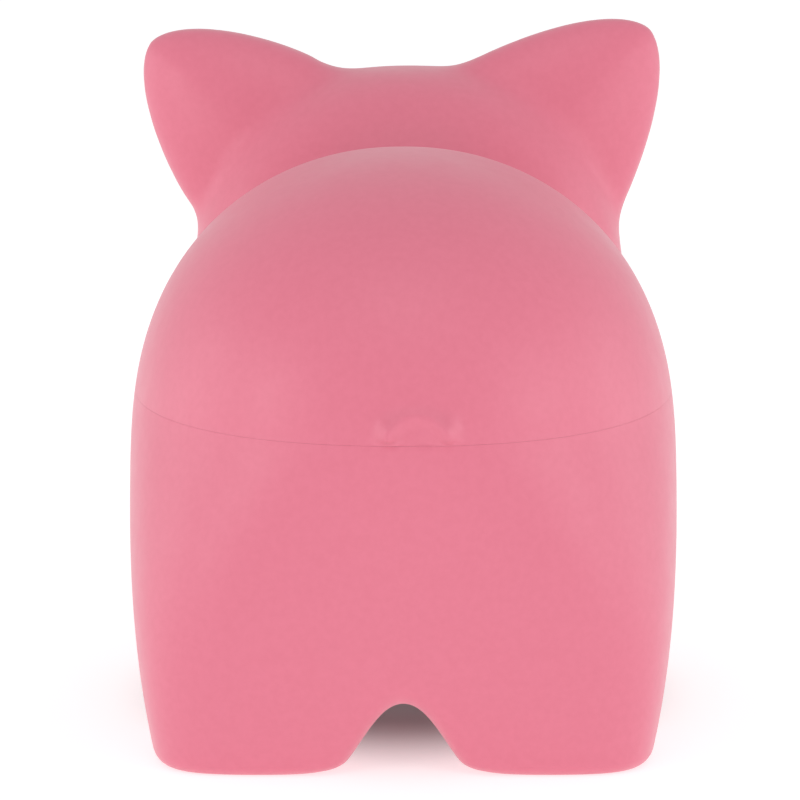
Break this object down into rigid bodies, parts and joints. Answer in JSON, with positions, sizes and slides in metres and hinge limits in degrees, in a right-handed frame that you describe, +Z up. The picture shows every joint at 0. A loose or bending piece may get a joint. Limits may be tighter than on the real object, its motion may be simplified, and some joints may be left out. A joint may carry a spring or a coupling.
{
  "type": "pig coin bank",
  "caption": "Standing pig-shaped money box with a coin slot across its back and a twist-lock stopper under its belly.",
  "frame": {"origin": "on the floor, under the middle of the object's length and width", "axes": "+Z up, the pig faces -Y, +X is the pig's left"},
  "size_m": [0.0994, 0.1276, 0.1223],
  "materials": {
    "shell": "satin pink, moulded through",
    "eye": "polished black",
    "plug": "soft translucent-looking grey, matt",
    "knob": "satin off-white"
  },
  "bodies": {
    "shell": {"front_shell": "shell", "back_shell": "shell", "left_eye": "eye", "right_eye": "eye"},
    "plug": {"stopper_plug": "plug"},
    "knob": {"stopper_knob": "knob", "stopper_cam": "knob"}
  },
  "joints": [
    {"name": "stopper_pull", "type": "slide", "parent": "shell", "child": "plug", "axis": [0, 0, -1], "range_m": [0, 0.035]},
    {"name": "stopper_twist", "type": "hinge", "parent": "plug", "child": "knob", "pos_m": [0, 0.0025, 0.014], "axis": [0, 0, 1], "range_deg": [0, 90]}
  ]
}
